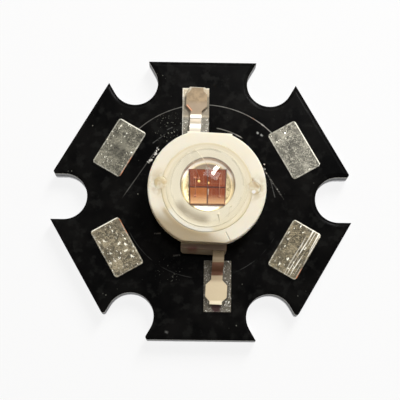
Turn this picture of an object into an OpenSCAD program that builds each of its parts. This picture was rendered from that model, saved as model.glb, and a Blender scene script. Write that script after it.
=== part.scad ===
// High power emitter on a star-shaped metal-core board: a moulded lead-frame
// package with a clear dome lens, soldered to a board with six screw slots.
// The origin is the centre of the board's underside, and +Z points out of the lens.

/* [Board] */
// Width of the hexagonal board across its flats
across_flats = 20; // [19:0.5:24]
// Thickness of the aluminium core
core_t = 1.45; // [0.8:0.05:2.4]
// Thickness of the insulating layer on the core
dielectric_t = 0.08; // [0.06:0.01:0.15]
// Thickness of the copper foil
copper_t = 0.035; // [0.03:0.005:0.07]
// Thickness of the solder mask
mask_t = 0.035; // [0.02:0.005:0.05]
// Width of each screw slot
slot_w = 3.28; // [2.8:0.02:3.6]
// Radius of the tips that the punch left blunt
tip_r = 0.18; // [0.05:0.01:0.25]
// Distance from a corner of the hexagon in to the middle of its slot's round end
slot_inset = 1.857; // [1.6:0.001:2]
// How far the punched shoulder reaches in from the rim
roll_w = 0.32; // [0.1:0.02:0.5]
// How far the punched shoulder drops at the rim
roll_drop = 0.12; // [0.04:0.01:0.2]

/* [Copper and lands] */
// Sideways shift of the printed layout from the punched outline
layout_dx = 0.36; // [-0.4:0.01:0.4]
// Upward shift of the printed layout from the punched outline
layout_dy = -0.03; // [-0.2:0.01:0.2]
// Sideways shift of the electrodes' round edges from the punched outline
trace_dx = 0.15; // [-0.3:0.01:0.3]
// Length of a wire land, along the board's flat
wire_land_l = 3.75; // [3:0.05:4]
// Width of a wire land
wire_land_w = 2.24; // [1.6:0.05:2.4]
// Radius of a wire land's corners
wire_land_r = 0.22; // [0.05:0.01:0.5]
// Distance from a wire land to the board's flat
wire_land_edge = 1.71; // [1.2:0.01:2]
// Width of a lead land
lead_land_w = 1.9; // [1.7:0.02:2.1]
// Distance from the layout's centre to a lead land's inner end
lead_land_in = 4.45; // [4:0.05:5]
// How far a lead land runs on past the lead's tip
lead_land_past = 0.31; // [0.2:0.01:0.6]
// How much closer together the lead lands are than the leads, each side
lead_land_shift = 0.22; // [0:0.01:0.4]
// How far the thermal land runs out past the slug
thermal_land_past = 0.45; // [0.4:0.05:0.6]
// How far the copper runs on under the mask round each land
land_margin = 0.1; // [0.05:0.01:0.15]
// Width of the mask's step down beside the copper
mask_skirt = 0.05; // [0.03:0.01:0.1]
// Distance from a slot to the upper electrode's round edge
upper_edge_gap = 1.29; // [1.1:0.01:1.5]
// Distance from a slot to the lower electrode's round edge
lower_edge_gap = 2.35; // [2.2:0.01:2.5]
// Width of the lower electrode where it is narrowest
band_w = 0.53; // [0.3:0.01:0.8]
// How much further in the electrodes' straight inner edges lie than their arcs
inner_flat_in = 0.43; // [0.3:0.01:0.5]
// Direction of the straight inner edges' normals from the X axis
inner_flat_angle = 33.5; // [28:0.5:36]
// Width of the gap between the two electrodes
electrode_gap = 0.6; // [0.3:0.05:1]
// Width of the track from an electrode to a wire land
track_w = 1.6; // [1:0.1:2]

/* [Solder] */
// Thickness of the tinning on a wire land
tin_t = 0.05; // [0.04:0.005:0.08]
// Width of the tinning's rounded edge
tin_edge = 0.04; // [0.02:0.01:0.08]
// Thickness of the joints under the leads and the slug
joint_t = 0.08; // [0.05:0.01:0.12]
// Width of the solder fillet round a paddle
fillet_w = 0.12; // [0.05:0.01:0.2]
// Height of the solder fillet round a paddle
fillet_h = 0.1; // [0.05:0.01:0.18]
// Thickness of the fillet's outer and upper edges
fillet_edge = 0.03; // [0.02:0.005:0.04]

/* [Package] */
// Sideways place of the package from the printed layout's centre
emitter_dx = -0.01; // [-0.15:0.01:0.15]
// Upward place of the package from the printed layout's centre
emitter_dy = 0.22; // [-0.1:0.01:0.25]
// How far the package is turned on the board, in degrees
emitter_turn = -2.5; // [-6:0.1:6]
// Radius of the moulded ring
ring_r = 4.08; // [3.9:0.02:4.3]
// Height of the ring's top above the slug's underside
ring_top = 2.6; // [2.5:0.05:2.9]
// Thickness of the ring
ring_t = 0.7; // [0.5:0.05:0.8]
// Radius of the ring's outer edges
ring_edge_r = 0.12; // [0.05:0.01:0.2]
// Distance from the package's axis to the ring's two flats
ring_flat = 3.76; // [3.66:0.02:3.9]
// Radius of the barrel under the ring
barrel_r = 3.56; // [3.4:0.02:3.6]
// Height of the barrel's underside above the slug's underside
barrel_lift = 0.35; // [0.2:0.05:0.5]
// Width of the two bosses that the leads leave through
boss_w = 3.14; // [3.04:0.02:3.3]
// Distance from the package's axis to the foot of a boss's front
boss_out = 4.32; // [4.22:0.02:4.5]
// How far the boss's front slopes back from its foot to its top
boss_draft = 0.2; // [0.05:0.01:0.25]
// Height of a boss's underside above the slug's underside
boss_low = 0.4; // [0.4:0.05:0.7]
// Thickness of the moulding over a lead at the boss
boss_cover = 0.15; // [0.1:0.05:0.3]
// Radius of a boss's upright corners
boss_r = 0.25; // [0.1:0.05:0.4]
// Radius of the well round the slug
well_r = 2.75; // [2.6:0.05:2.85]
// Radius of the silicone's filling and venting holes
fill_r = 0.46; // [0.35:0.01:0.5]
// Distance from the slug's axis to those holes
fill_reach = 3.2; // [3.1:0.01:3.3]
// Height of the passages from those holes to the well
gate_h = 0.25; // [0.15:0.05:0.3]

/* [Leads] */
// Thickness of the lead strip
lead_t = 0.3; // [0.2:0.02:0.34]
// Width of a lead's neck
neck_w = 0.78; // [0.7:0.02:0.9]
// Distance of each lead from the middle of the frame
lead_dx = 1.05; // [0.95:0.01:1.08]
// Height of a lead's underside inside the package
lead_level = 1.2; // [1.12:0.02:1.3]
// Distance from the slug's post to a lead's inner end
lead_post_gap = 0.2; // [0.12:0.02:0.3]
// How far the upper lead runs straight out of its boss
upper_straight = 0.15; // [0.1:0.01:0.3]
// Angle of the upper lead's two bends, in degrees
upper_bend = 60; // [58:1:75]
// How far the lower lead runs straight out of its boss
lower_straight = 0.4; // [0.1:0.01:0.45]
// Angle of the lower lead's two bends, in degrees
lower_bend = 74; // [68:1:80]
// Inner radius of the bends
bend_r = 0.2; // [0.1:0.02:0.3]
// Distance from the foot of a boss's front to its lead's paddle
lead_reach = 1.7; // [1.65:0.05:2.2]
// Width of the paddle
paddle_w = 1.48; // [1.3:0.02:1.6]
// Length of the paddle without its end tab
paddle_l = 1.5; // [1.3:0.05:1.7]
// Width of the paddle's end tab
tab_w = 0.86; // [0.6:0.02:0.95]
// Length of the paddle's end tab
tab_l = 0.2; // [0.1:0.05:0.3]

/* [Heat slug] */
// Sideways place of the slug from the package's axis
slug_dx = 0.02; // [-0.1:0.01:0.1]
// Upward place of the slug from the package's axis
slug_dy = 0.14; // [-0.2:0.01:0.2]
// Radius of the slug's base
slug_base_r = 2.95; // [2.8:0.05:3.1]
// Height of the slug's base
slug_base_h = 0.95; // [0.8:0.05:1]
// Width of the bevel round the slug's underside
slug_bevel = 0.1; // [0.05:0.01:0.2]
// Radius of the slug's post
slug_post_r = 1.7; // [1.6:0.02:1.8]
// Height of the slug's top above its underside
slug_top = 2.3; // [2.2:0.05:2.35]
// Clearance from the dice's corners to the reflector cup's wall
cup_room = 0.02; // [0.01:0.005:0.1]
// How much wider the reflector cup is at its mouth than at its floor, all round
cup_flare = 0.16; // [0.05:0.01:0.3]
// Depth of the reflector cup
cup_depth = 0.5; // [0.4:0.05:0.6]

/* [Dice and bond wires] */
// Width of one die
die_w = 0.72; // [0.6:0.01:0.74]
// Gap between neighbouring dice
die_gap = 0.03; // [0.02:0.005:0.06]
// Thickness of a die
die_t = 0.12; // [0.08:0.01:0.2]
// Thickness of the adhesive under the dice
attach_t = 0.03; // [0.02:0.005:0.05]
// How far the adhesive shows round the dice
attach_margin = 0.01; // [0.005:0.005:0.04]
// Turn of the dice in the cup, in degrees
die_turn = 2.5; // [0:0.5:8]
// Diameter of the gold wire
wire_d = 0.03; // [0.02:0.005:0.05]
// Diameter of the flattened ball at a wire's end
ball_d = 0.1; // [0.08:0.01:0.12]
// Height of the flattened ball
ball_h = 0.05; // [0.04:0.01:0.07]
// Distance from a lead's inner end to the wires on it
wedge_in = 0.17; // [0.12:0.01:0.25]
// Distance between two wires on one lead
wedge_gap = 0.3; // [0.2:0.02:0.4]
// Sideways distance from a die's middle to its chain wire
chain_step = 0.14; // [0.13:0.01:0.2]
// Direction of the slug wires' inner ends from the +X axis, in degrees
slug_wedge_angle = -52; // [-60:1:-45]
// Turn from that direction to each slug wire, in degrees
slug_wedge_step = 14; // [8:1:18]
// Height of a wire's arch from a die to its lead
lead_arch = 0.9; // [0.8:0.02:1]
// Height of a wire's arch between two dice
die_arch = 0.16; // [0.1:0.02:0.25]
// Height of a wire's arch from a lead to the slug
slug_arch = 0.35; // [0.3:0.02:0.45]

/* [Lens] */
// Outer radius of the dome
lens_r = 2.8; // [2.7:0.02:2.9]
// Thickness of the dome's wall
lens_wall = 0.45; // [0.35:0.01:0.5]
// Height of the dome's centre above the lens's underside
lens_lift = 0.3; // [0.2:0.05:0.5]
// Radius of the lens's flange
lens_flange_r = 3.1; // [3:0.01:3.2]
// Thickness of the lens's flange
lens_flange_t = 0.5; // [0.4:0.05:0.6]
// Depth of the lens's seat below the ring's top
lens_seat_depth = 0.4; // [0.3:0.05:0.45]
// Clearance round the lens's flange in its seat
lens_fit = 0.03; // [0.02:0.01:0.06]

/* [Hidden] */

$fn = 96;
// Number of sides of the board, and the angle between them
sides = 6;
side_angle = 360 / sides;
// How far cutting shapes run on past what they cut
over = 0.25;

// Levels of the board's layers
dielectric_top = core_t + dielectric_t;
copper_top = dielectric_top + copper_t;
mask_top = copper_top + mask_t;
seat_z = copper_top + joint_t;

// The hexagon's corner radius and the slots' places
corner_r = across_flats / 2 / cos(side_angle / 2);
slot_reach = corner_r - slot_inset;
slot_bottom = slot_reach - slot_w / 2;

// The blunt tips, each as the number of its slot and a side of the slot
blunt_tips = [[0, 1], [3, -1], [4, -1], [4, 1], [5, 1]];

// The punched shoulder is an arc in a few flat steps
roll_steps = 4;
roll_angle = 2 * atan(roll_drop / roll_w);
roll_r = roll_w / sin(roll_angle);

// The electrodes' round edges
upper_arc_r = slot_bottom - upper_edge_gap;
lower_arc_r = slot_bottom - lower_edge_gap;
inner_arc_r = lower_arc_r - band_w;
inner_flat = inner_arc_r - inner_flat_in;
track_in = (inner_arc_r + lower_arc_r) / 2;

// The wire lands, as turns from the +X axis and places out from the middle
wire_land_reach = across_flats / 2 - wire_land_edge - wire_land_w / 2;
upper_right = side_angle / 2;
upper_left = 180 - side_angle / 2;
lower_left = 180 + side_angle / 2;
lower_right = -side_angle / 2;

// The leads: out of the bosses, down both bends and along the board
shelf_z = lead_level + lead_t;
lead_in_r = slug_post_r + norm([slug_dx, slug_dy]) + lead_post_gap;
lead_in_y = sqrt(pow(lead_in_r, 2) - pow(lead_dx - neck_w / 2, 2));
bend_mid_r = bend_r + lead_t / 2;
bend_steps = 6;
shoulder_y = boss_out + lead_reach;
// How far the paddle's plan laps back over the neck
neck_lap = 0.05;
paddle_end = shoulder_y + paddle_l;
lead_tip = paddle_end + tab_l;
lead_land_dx = lead_dx - lead_land_shift;
lead_land_out = lead_tip + lead_land_past;

// The package's inner levels
boss_high = shelf_z + boss_cover;
boss_in = barrel_r / 2;
lens_seat = ring_top - lens_seat_depth;
gate_floor = lens_seat - gate_h;
cavity_r = lens_r - lens_wall;
// Height of the silicone's crown in a filling hole
fill_crown = 0.12;
thermal_land_r = slug_base_r + thermal_land_past;

// The dice in their cup, and the ends of the bond wires
die_pitch = die_w + die_gap;
attach_w = die_pitch + die_w + 2 * attach_margin;
cup_floor_r = attach_w / sqrt(2) + cup_room;
cup_mouth_r = cup_floor_r + cup_flare;
cup_floor = slug_top - cup_depth;
die_floor = cup_floor + attach_t;
die_top = die_floor + die_t;
wire_z = ball_h / 2;
wedge_y = lead_in_y + wedge_in;
slug_wedge_r = (cup_mouth_r + slug_post_r) / 2;

// Fine arcs of small parts
small_fn = 24;

// Rectangle with round corners, centred
module round_rect(l, w, r) {
  square([l, w - 2 * r], center = true);
  square([l - 2 * r, w], center = true);
  for (x = [-1, 1], y = [-1, 1])
    translate([x * (l / 2 - r), y * (w / 2 - r)]) circle(r = r, $fn = small_fn);
}

// One screw slot, open to the corner of the hexagon
module slot_outline(width) {
  translate([slot_reach, 0]) circle(d = width);
  translate([slot_reach, -width / 2]) square([corner_r, width]);
}

// What a blunt tip has lost, beside the slot on the +X axis
module tip_loss() {
  half_angle = side_angle / 2;
  tip = [corner_r - slot_w / 2 * tan(half_angle), slot_w / 2];
  flat_l = tip_r / tan(half_angle);
  centre = tip + [-flat_l, tip_r];
  difference() {
    polygon([
      tip + [over, 0],
      tip - [flat_l, 0],
      centre,
      tip + flat_l * [-cos(side_angle), sin(side_angle)],
      tip + flat_l * [-cos(side_angle), sin(side_angle)] + over * [1, 0]
    ]);
    translate(centre) circle(r = tip_r, $fn = small_fn);
  }
}

// Outline of the punched board
module star_outline() {
  difference() {
    circle(r = corner_r, $fn = sides);
    for (i = [0 : sides - 1]) rotate(i * side_angle) slot_outline(slot_w);
    for (tip = blunt_tips)
      rotate(tip[0] * side_angle) mirror([0, tip[1] > 0 ? 0 : 1]) tip_loss();
  }
}

// The same outline with sharp tips, its walls moved out by grow
module grown_outline(grow) {
  difference() {
    circle(r = corner_r + grow / cos(side_angle / 2), $fn = sides);
    for (i = [0 : sides - 1]) rotate(i * side_angle) slot_outline(slot_w - 2 * grow);
  }
}

// Section of what the punch pulls down: x is in from the wall, y is up from the face
module shoulder_section() {
  polygon(concat(
    [for (i = [0 : roll_steps])
      let (a = roll_angle * i / roll_steps)
      [roll_w - roll_r * sin(a), roll_r * (cos(a) - 1)]],
    [[-over, -roll_drop], [-over, over], [roll_w, over]]
  ));
}

// What is missing at the rim of a layer whose face is at the level top
module rim_shoulder(top) {
  for (i = [0 : sides - 1]) {
    rotate((i + 0.5) * side_angle) translate([across_flats / 2, 0, top])
      rotate([90, 0, 0])
        linear_extrude(corner_r, center = true) mirror([1, 0]) shoulder_section();
    rotate(i * side_angle) translate([slot_reach, 0, top]) {
      rotate_extrude() translate([slot_w / 2, 0]) shoulder_section();
      for (side = [0, 1]) mirror([0, side, 0])
        translate([0, slot_w / 2, 0])
          rotate([90, 0, 90]) linear_extrude(corner_r) shoulder_section();
    }
  }
}

// A plate of an outline from a base level up to a rolled face
module rolled_plate(base, top) {
  difference() {
    slab(base, top) children();
    rim_shoulder(top);
  }
}

// A layer that follows the roll, between two levels
module rolled_layer(low, high) {
  difference() {
    rolled_plate(low - roll_drop - over, high) star_outline();
    rolled_plate(low - roll_drop - 2 * over, low) grown_outline(over / 2);
  }
}

// Puts a thing of the printed layout on its place, turned from the +X axis
module on_layout(turn = 0) {
  translate([layout_dx, layout_dy]) rotate(turn) children();
}

// A wire land at a turn from the +X axis
module wire_land(turn, grow = 0) {
  on_layout(turn) translate([wire_land_reach, 0])
    round_rect(wire_land_w + 2 * grow, wire_land_l + 2 * grow, wire_land_r + grow);
}

// The upper lead land; the lower one is turned half round
module lead_land(turn, grow = 0) {
  on_layout(turn) translate([-lead_land_dx - lead_land_w / 2 - grow, lead_land_in - grow])
    square([lead_land_w + 2 * grow, lead_land_out - lead_land_in + 2 * grow]);
}

// The space round the package that both electrodes keep clear of
module electrode_window(grow = 0) {
  intersection() {
    circle(r = inner_arc_r - grow);
    for_both_ways() square([2 * (inner_flat - grow), across_flats], center = true);
  }
}

// The overlap of a shape turned to one side and to the other
module for_both_ways() {
  intersection() {
    rotate(inner_flat_angle) children();
    rotate(-inner_flat_angle) children();
  }
}

// The track under the mask from an electrode to the wire land at a turn
module land_track(turn, grow = 0) {
  on_layout(turn) translate([track_in, -track_w / 2 - grow])
    square([wire_land_reach - track_in, track_w + 2 * grow]);
}

// Half of the board's copper: side is 1 for the upper half and -1 for the lower
module electrode(side, arc_r, grow = 0) {
  translate([trace_dx, 0]) difference() {
    intersection() {
      circle(r = arc_r + grow);
      translate([-across_flats / 2, side > 0 ? electrode_gap / 2 - grow : -across_flats])
        square([across_flats, across_flats - electrode_gap / 2 + grow]);
    }
    electrode_window(grow);
  }
}

module upper_copper(grow = 0) {
  electrode(1, upper_arc_r, grow);
  for (turn = [upper_left, upper_right]) {
    wire_land(turn, land_margin + grow);
    land_track(turn, grow);
  }
  lead_land(0, land_margin + grow);
}

module lower_copper(grow = 0) {
  electrode(-1, lower_arc_r, grow);
  for (turn = [lower_left, lower_right]) {
    wire_land(turn, land_margin + grow);
    land_track(turn, grow);
  }
  lead_land(180, land_margin + grow);
}

module thermal_copper(grow = 0) {
  on_layout() circle(r = thermal_land_r + grow);
}

// A flat outline from one level to another
module slab(low, high) {
  translate([0, 0, low]) linear_extrude(high - low) children();
}

// Puts the package on its place on the board
module on_board() {
  translate([layout_dx + emitter_dx, layout_dy + emitter_dy, seat_z])
    rotate(emitter_turn) children();
}

// Places a thing of the lead frame: turn is 0 for the upper lead, 180 for the lower
module in_frame(turn) {
  rotate(turn) children();
}

// The aluminium core, punched with its slots
module core_plate() {
  color("silver") rolled_plate(0, core_t) star_outline();
}

module dielectric_layer() {
  color("wheat") rolled_layer(core_t, dielectric_top);
}

module upper_electrode() {
  color("peru") slab(dielectric_top, copper_top) upper_copper();
}

module lower_electrode() {
  color("peru") slab(dielectric_top, copper_top) lower_copper();
}

module thermal_land() {
  color("peru") slab(dielectric_top, copper_top) thermal_copper();
}

// The mask steps up over the copper and is open over each land
module solder_mask() {
  color([0.08, 0.08, 0.08]) difference() {
    union() {
      rolled_layer(dielectric_top, dielectric_top + mask_t);
      slab(dielectric_top, mask_top) upper_copper(mask_skirt);
      slab(dielectric_top, mask_top) lower_copper(mask_skirt);
      slab(dielectric_top, mask_top) thermal_copper(mask_skirt);
    }
    slab(dielectric_top - over, copper_top) {
      upper_copper();
      lower_copper();
      thermal_copper();
    }
    slab(dielectric_top, mask_top + over) {
      for (turn = [upper_left, upper_right, lower_left, lower_right]) wire_land(turn);
      lead_land(0);
      lead_land(180);
      thermal_copper(-land_margin);
    }
  }
}

// Tinning of one wire land, with a stepped round edge
module wire_tin(turn) {
  color([0.6, 0.6, 0.56]) {
    slab(copper_top, copper_top + tin_t - tin_edge / 2) wire_land(turn);
    slab(copper_top, copper_top + tin_t) wire_land(turn, -tin_edge);
  }
}

// Plan of the part of a lead that lies on the board: y is out from the frame's middle
module paddle_plan(grow = 0) {
  shoulder = (paddle_w - neck_w) / 2;
  toe = (paddle_w - tab_w) / 2;
  half = [
    [paddle_w / 2 + grow, shoulder_y + shoulder],
    [paddle_w / 2 + grow, paddle_end - toe],
    [tab_w / 2 + grow, paddle_end],
    [tab_w / 2 + grow, lead_tip + grow]
  ];
  neck = grow > 0 ? [[neck_w / 2 + grow, shoulder_y]]
                  : [[neck_w / 2, shoulder_y - neck_lap], [neck_w / 2, shoulder_y]];
  outline = concat(neck, half);
  last = len(outline) - 1;
  polygon(concat(outline, [for (i = [last : -1 : 0]) [-outline[i][0], outline[i][1]]]));
}

// Solder under a lead and round its paddle
module lead_joint(turn) {
  color([0.62, 0.6, 0.54]) {
    slab(copper_top, seat_z) lead_land(turn);
    on_board() in_frame(turn) translate([-lead_dx, 0, 0]) difference() {
      hull() {
        linear_extrude(fillet_edge) paddle_plan(fillet_w);
        linear_extrude(fillet_h) paddle_plan(fillet_edge);
      }
      linear_extrude(lead_t) paddle_plan();
    }
  }
}

// The film between the slug and its land
module slug_joint() {
  color([0.62, 0.6, 0.54]) on_board() on_slug() translate([0, 0, -joint_t])
    cylinder(r = slug_base_r - slug_bevel, h = joint_t);
}

// Points round the arc of a bend
function arc_points(centre, r, from, to) =
  [for (i = [0 : bend_steps])
    let (a = from + (to - from) * i / bend_steps)
    [centre[0] + r * cos(a), centre[1] + r * sin(a)]];

// The strip seen from its side: x is out from the frame's middle, y is up.
// It runs straight out of its boss and then down through two bends of an angle.
module lead_side(straight, angle) {
  slope_l = (lead_level - 2 * bend_mid_r * (1 - cos(angle))) / sin(angle);
  bends_l = 2 * bend_mid_r * sin(angle) + slope_l * cos(angle);
  high = [boss_out + straight, lead_level - bend_r];
  low = [high[0] + bends_l, lead_t + bend_r];
  polygon(concat(
    [[lead_in_y, shelf_z]],
    arc_points(high, bend_r + lead_t, 90, 90 - angle),
    arc_points(low, bend_r, -90 - angle, -90),
    [[shoulder_y, lead_t], [shoulder_y, 0]],
    arc_points(low, bend_r + lead_t, -90, -90 - angle),
    arc_points(high, bend_r, 90 - angle, 90),
    [[lead_in_y, lead_level]]
  ));
}

// A side view made as thick as a width, across the middle of the X axis
module side_slab(width) {
  translate([-width / 2, 0, 0]) rotate([90, 0, 90]) linear_extrude(width) children();
}

// A lead of the frame: flat in the package, bent down by hand, flat on the board
module lead_strip(turn) {
  straight = turn == 0 ? upper_straight : lower_straight;
  angle = turn == 0 ? upper_bend : lower_bend;
  in_frame(turn) translate([-lead_dx, 0, 0]) {
    side_slab(neck_w) lead_side(straight, angle);
    linear_extrude(lead_t) paddle_plan();
  }
}

module lead(turn) {
  color([0.85, 0.82, 0.76]) on_board() lead_strip(turn);
}

// A boss on the +Y side that a lead leaves the moulding through, its front drafted
module boss() {
  boss_l = boss_out - boss_in;
  intersection() {
    slab(boss_low - over, boss_high + over) translate([0, boss_out - boss_l / 2])
      round_rect(boss_w, boss_l, boss_r);
    side_slab(boss_w + 2 * over) polygon([
      [0, boss_low],
      [boss_out, boss_low],
      [boss_out - boss_draft, boss_high],
      [0, boss_high]
    ]);
  }
}

// The ring, round but for its two flats, with rounded outer edges
module ring() {
  intersection() {
    translate([0, 0, ring_top - ring_t]) rotate_extrude() {
      square([ring_r - ring_edge_r, ring_t]);
      translate([0, ring_edge_r]) square([ring_r, ring_t - 2 * ring_edge_r]);
      for (z = [ring_edge_r, ring_t - ring_edge_r])
        translate([ring_r - ring_edge_r, z]) circle(r = ring_edge_r, $fn = small_fn);
    }
    translate([-ring_r - over, -ring_flat, 0])
      cube([2 * (ring_r + over), 2 * ring_flat, ring_top + over]);
  }
}

// Puts a thing at each of the two filling and venting holes, in line with the slug
module at_fill_holes(level) {
  on_slug() for (side = [-1, 1]) translate([side * fill_reach, 0, level]) children();
}

// The filling and venting holes with their passages to the well
module fill_passages(top) {
  at_fill_holes(gate_floor) cylinder(r = fill_r, h = top - gate_floor, $fn = small_fn);
  on_slug() translate([-fill_reach, -fill_r / 2, gate_floor])
    cube([2 * fill_reach, fill_r, gate_h]);
}

// The moulding round the slug and the lead frame
module package_body() {
  color([0.96, 0.93, 0.85]) on_board() difference() {
    union() {
      ring();
      translate([0, 0, barrel_lift]) cylinder(r = barrel_r, h = ring_top - barrel_lift - ring_edge_r);
      for (turn = [0, 180]) in_frame(turn) boss();
    }
    translate([0, 0, shelf_z]) cylinder(r = well_r, h = ring_top);
    translate([0, 0, lens_seat]) cylinder(r = lens_flange_r + lens_fit, h = ring_top);
    on_slug() cylinder(r = slug_post_r, h = ring_top);
    on_slug() translate([0, 0, -over]) cylinder(r = slug_base_r, h = slug_base_h + over);
    for (turn = [0, 180]) lead_strip(turn);
    fill_passages(ring_top + over);
  }
}

// The plated copper slug with its reflector cup
module heat_slug() {
  color([0.8, 0.72, 0.6]) on_board() on_slug() rotate_extrude() polygon([
    [0, 0],
    [slug_base_r - slug_bevel, 0],
    [slug_base_r, slug_bevel],
    [slug_base_r, slug_base_h],
    [slug_post_r, slug_base_h],
    [slug_post_r, slug_top],
    [cup_mouth_r, slug_top],
    [cup_floor_r, cup_floor],
    [0, cup_floor]
  ]);
}

// Places a thing on the slug's axis
module on_slug() {
  translate([slug_dx, slug_dy, 0]) children();
}

// Places a thing with the dice's turn in the cup
module in_cup() {
  on_slug() rotate(die_turn) children();
}

module die_attach() {
  color([0.5, 0.5, 0.5]) on_board() in_cup()
    translate([-attach_w / 2, -attach_w / 2, cup_floor])
      cube([attach_w, attach_w, attach_t]);
}

// One die: col is -1 or 1 from left to right, row from below to above
module die(col, row) {
  color([0.55, 0.25, 0.17]) on_board() in_cup()
    translate([col * die_pitch / 2 - die_w / 2, row * die_pitch / 2 - die_w / 2, die_floor])
      cube([die_w, die_w, die_t]);
}

// Flattened ball at the end of a wire
module ball() {
  cylinder(d = ball_d, h = ball_h, $fn = small_fn);
}

// A wire that arches from one point to another and rises by arch over the line between
module arched_wire(from, to, arch) {
  way = to - from;
  level = norm([way[0], way[1]]);
  chord = norm(way);
  wire_r = (pow(chord, 2) / 4 + pow(arch, 2)) / (2 * arch);
  half = arch > wire_r ? 180 - asin(chord / 2 / wire_r) : asin(chord / 2 / wire_r);
  translate((from + to) / 2) rotate([0, -atan2(way[2], level), atan2(way[1], way[0])])
    translate([0, 0, arch - wire_r]) rotate([90, 0, 0]) rotate([0, 0, 90 - half])
      rotate_extrude(angle = 2 * half)
        translate([wire_r, 0]) circle(d = wire_d, $fn = small_fn);
}

// The middle of a die's top, seen from the package
function die_point(col, row) =
  let (x = col * die_pitch / 2, y = row * die_pitch / 2)
  [slug_dx + x * cos(die_turn) - y * sin(die_turn),
   slug_dy + x * sin(die_turn) + y * cos(die_turn),
   die_top + wire_z];

// A point on a lead's inner end: side is 1 for the upper lead and -1 for the lower
function lead_point(side, step) =
  [-side * lead_dx + step * wedge_gap / 2, side * wedge_y, shelf_z + wire_z];

// A point on the slug's rim
function slug_point(step) =
  let (a = slug_wedge_angle + step * slug_wedge_step)
  [slug_dx + slug_wedge_r * cos(a), slug_dy + slug_wedge_r * sin(a), slug_top + wire_z];

// A wire with its two balls
module bond_wire(from, to, arch) {
  color("gold") on_board() {
    arched_wire(from, to, arch);
    translate(from - [0, 0, wire_z]) ball();
    translate(to - [0, 0, wire_z]) ball();
  }
}

module lead_wire(col) {
  bond_wire(die_point(col, 1), lead_point(1, col), lead_arch);
}

// The chain wire lands beside the lead wire's ball, so that each has its own place
module chain_wire(col) {
  beside = [col * chain_step, 0, 0];
  bond_wire(die_point(col, -1) + beside, die_point(col, 1) + beside, die_arch);
}

module slug_wire(step) {
  bond_wire(slug_point(step), lead_point(-1, step), slug_arch);
}

// The silicone in the well, the cup, the dome and the filling holes, less what it holds
module silicone_fill() {
  color([0.95, 0.95, 0.9], 0.3) difference() {
    on_board() {
      translate([0, 0, shelf_z]) rotate_extrude() {
        square([well_r, lens_seat - shelf_z]);
        translate([0, lens_seat - shelf_z]) dome_section(cavity_r);
      }
      fill_passages(ring_top);
      at_fill_holes(ring_top) fill_bead();
    }
    heat_slug();
    die_attach();
    for (col = [-1, 1], row = [-1, 1]) die(col, row);
    for (col = [-1, 1]) {
      lead_wire(col);
      chain_wire(col);
      slug_wire(col);
    }
  }
}

// Half section of a dome on its short straight wall, from the lens's underside up
module dome_section(r) {
  square([r, lens_lift]);
  translate([0, lens_lift]) intersection() {
    circle(r = r);
    square(r);
  }
}

// The low crown that the silicone leaves in a filling hole
module fill_bead() {
  bead_r = (pow(fill_r, 2) + pow(fill_crown, 2)) / (2 * fill_crown);
  intersection() {
    translate([0, 0, fill_crown - bead_r]) sphere(r = bead_r);
    cylinder(r = fill_r + over, h = fill_crown + over, $fn = small_fn);
  }
}

// The clear dome with its seating flange, notched for the filling holes
module dome_lens() {
  color([0.9, 0.95, 1], 0.35) on_board() difference() {
    translate([0, 0, lens_seat]) rotate_extrude() difference() {
      union() {
        square([lens_flange_r, lens_flange_t]);
        dome_section(lens_r);
      }
      dome_section(cavity_r);
    }
    at_fill_holes(lens_seat - over)
      cylinder(r = fill_r, h = lens_flange_t + 2 * over, $fn = small_fn);
  }
}

core_plate();
dielectric_layer();
upper_electrode();
lower_electrode();
thermal_land();
solder_mask();
wire_tin(upper_left);  // wire_tin_upper_left
wire_tin(upper_right);  // wire_tin_upper_right
wire_tin(lower_left);  // wire_tin_lower_left
wire_tin(lower_right);  // wire_tin_lower_right
lead_joint(0);  // upper_lead_joint
lead_joint(180);  // lower_lead_joint
slug_joint();
lead(0);  // upper_lead
lead(180);  // lower_lead
package_body();
heat_slug();
die_attach();
die(-1, 1);  // die_upper_left
die(1, 1);  // die_upper_right
die(-1, -1);  // die_lower_left
die(1, -1);  // die_lower_right
lead_wire(-1);  // lead_wire_left
lead_wire(1);  // lead_wire_right
chain_wire(-1);  // chain_wire_left
chain_wire(1);  // chain_wire_right
slug_wire(-1);  // slug_wire_inner
slug_wire(1);  // slug_wire_outer
silicone_fill();
dome_lens();
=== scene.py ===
"""Dresses the high power light emitting diode on its star board for the photograph's view."""
import logging
import math
from dataclasses import dataclass
from enum import Enum
from functools import reduce
from typing import Any, Callable, Iterable, Sequence

import bmesh
import bpy
from bpy.types import Material, NodeSocket, NodeTree, Object
from mathutils import Matrix, Vector


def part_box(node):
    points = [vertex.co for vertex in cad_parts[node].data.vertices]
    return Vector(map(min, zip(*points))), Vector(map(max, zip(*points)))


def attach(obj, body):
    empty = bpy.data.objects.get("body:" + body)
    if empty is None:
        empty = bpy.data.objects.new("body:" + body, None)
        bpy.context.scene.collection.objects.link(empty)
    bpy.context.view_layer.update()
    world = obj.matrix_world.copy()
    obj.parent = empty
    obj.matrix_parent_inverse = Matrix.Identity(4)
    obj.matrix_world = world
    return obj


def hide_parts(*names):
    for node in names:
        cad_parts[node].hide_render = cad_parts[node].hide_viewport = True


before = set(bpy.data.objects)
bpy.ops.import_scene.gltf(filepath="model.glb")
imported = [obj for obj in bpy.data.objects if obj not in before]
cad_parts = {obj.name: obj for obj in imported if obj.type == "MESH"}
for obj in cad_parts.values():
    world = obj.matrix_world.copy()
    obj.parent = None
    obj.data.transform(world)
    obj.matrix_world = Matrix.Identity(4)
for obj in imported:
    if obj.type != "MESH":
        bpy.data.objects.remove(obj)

LOG = logging.getLogger("led_scene")
MM = 0.001
Point = tuple[float, float]
Line = tuple[Point, Point]
Triple = tuple[float, float, float]
RGB = Triple

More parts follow.
